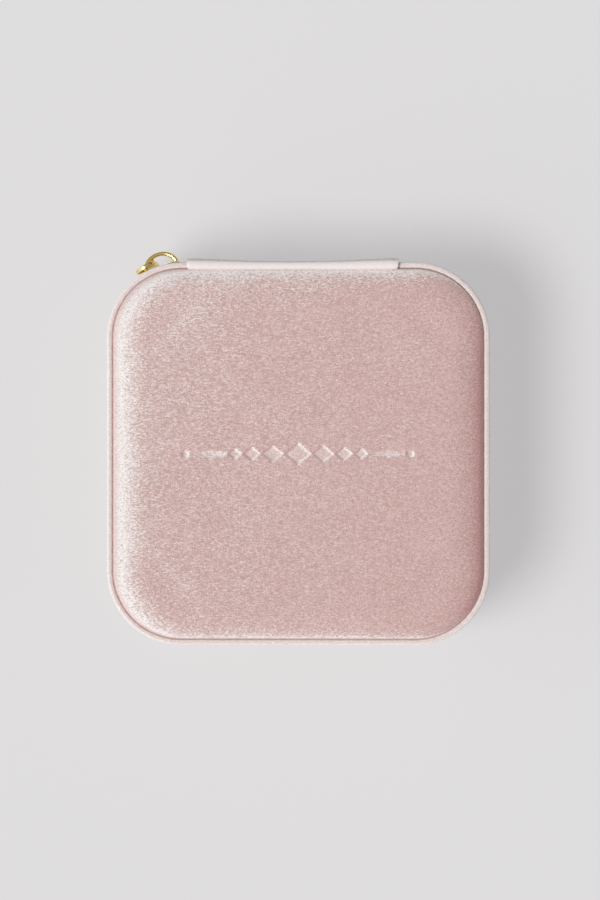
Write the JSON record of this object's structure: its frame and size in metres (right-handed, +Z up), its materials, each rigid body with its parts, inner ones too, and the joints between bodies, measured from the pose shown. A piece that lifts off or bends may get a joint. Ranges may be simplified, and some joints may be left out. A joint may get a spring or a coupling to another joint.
{
  "type": "travel jewellery case",
  "caption": "Square zip-round travel jewellery case in plush velvet, with a padded lid, a mirror inside it, ring rolls, compartments, a coil zip and a fabric strap hinge.",
  "frame": {"origin": "centre of the flat bottom face, on the surface that the case stands on", "axes": "+Z up through the lid, +Y towards the hinge strap at the back, +X to the right when the case is seen from above with the hinge away from the viewer"},
  "size_m": [0.1, 0.1038, 0.05],
  "materials": {
    "velvet": "plush dusty pink velvet with a short dense nap",
    "lining_velvet": "short-nap pale pink lining velvet",
    "zip_tape": "fine woven twill tape, matte",
    "zip_coil": "satin nylon filament",
    "gold_metal": "polished pale gold plating",
    "case_plastic": "moulded, satin",
    "greyboard": "uncoated pressed board",
    "foam": "open-cell foam",
    "mirror_glass": "silvered sheet with a polished edge"
  },
  "bodies": {
    "base": {"base_frame": "case_plastic", "base_wall_cover": "velvet", "bottom_cover": "velvet", "bottom_board": "greyboard", "base_piping": "velvet", "base_lining": "lining_velvet", "floor_pad": "lining_velvet", "hinge_strap_base": "velvet", "hinge_lining_base": "zip_tape", "zip_tape_base": "zip_tape", "zip_coil_base": "zip_coil", "zip_top_stop": "gold_metal", "zip_bottom_stop": "gold_metal", "ring_roll_cover_1": "lining_velvet", "ring_roll_cover_2": "lining_velvet", "ring_roll_cover_3": "lining_velvet", "ring_roll_cover_4": "lining_velvet", "ring_roll_cover_5": "lining_velvet", "ring_roll_core_1": "foam", "ring_roll_core_2": "foam", "ring_roll_core_3": "foam", "ring_roll_core_4": "foam", "ring_roll_core_5": "foam", "centre_divider": "lining_velvet", "cross_divider_1": "lining_velvet", "cross_divider_2": "lining_velvet"},
    "lid": {"lid_frame": "case_plastic", "lid_wall_cover": "velvet", "lid_piping": "velvet", "lid_top_board": "greyboard", "lid_top_foam": "foam", "lid_top_cover": "velvet", "lid_lining": "lining_velvet", "mirror_backing": "greyboard", "mirror": "mirror_glass", "mirror_surround": "lining_velvet", "hinge_strap_lid": "velvet", "hinge_lining_lid": "zip_tape", "zip_tape_lid": "zip_tape", "zip_coil_lid": "zip_coil"},
    "zip_slider": {"slider_body": "gold_metal", "slider_bail": "gold_metal"},
    "pull": {"pull_tab": "gold_metal"}
  },
  "joints": [
    {"name": "lid_hinge", "type": "hinge", "parent": "base", "child": "lid", "pos_m": [0, 0.05235, 0.03], "axis": [-1, 0, 0], "range_deg": [0, 180]},
    {"name": "slider_travel", "type": "hinge", "parent": "base", "child": "zip_slider", "pos_m": [-0.0304, 0.0304, 0.03], "axis": [0, 0, 1], "range_deg": [0, 57]},
    {"name": "pull_swing", "type": "hinge", "parent": "zip_slider", "child": "pull", "pos_m": [-0.04093, 0.04964, 0.03], "axis": [-0.5592, 0.829, 0], "range_deg": [-15, 90]}
  ]
}
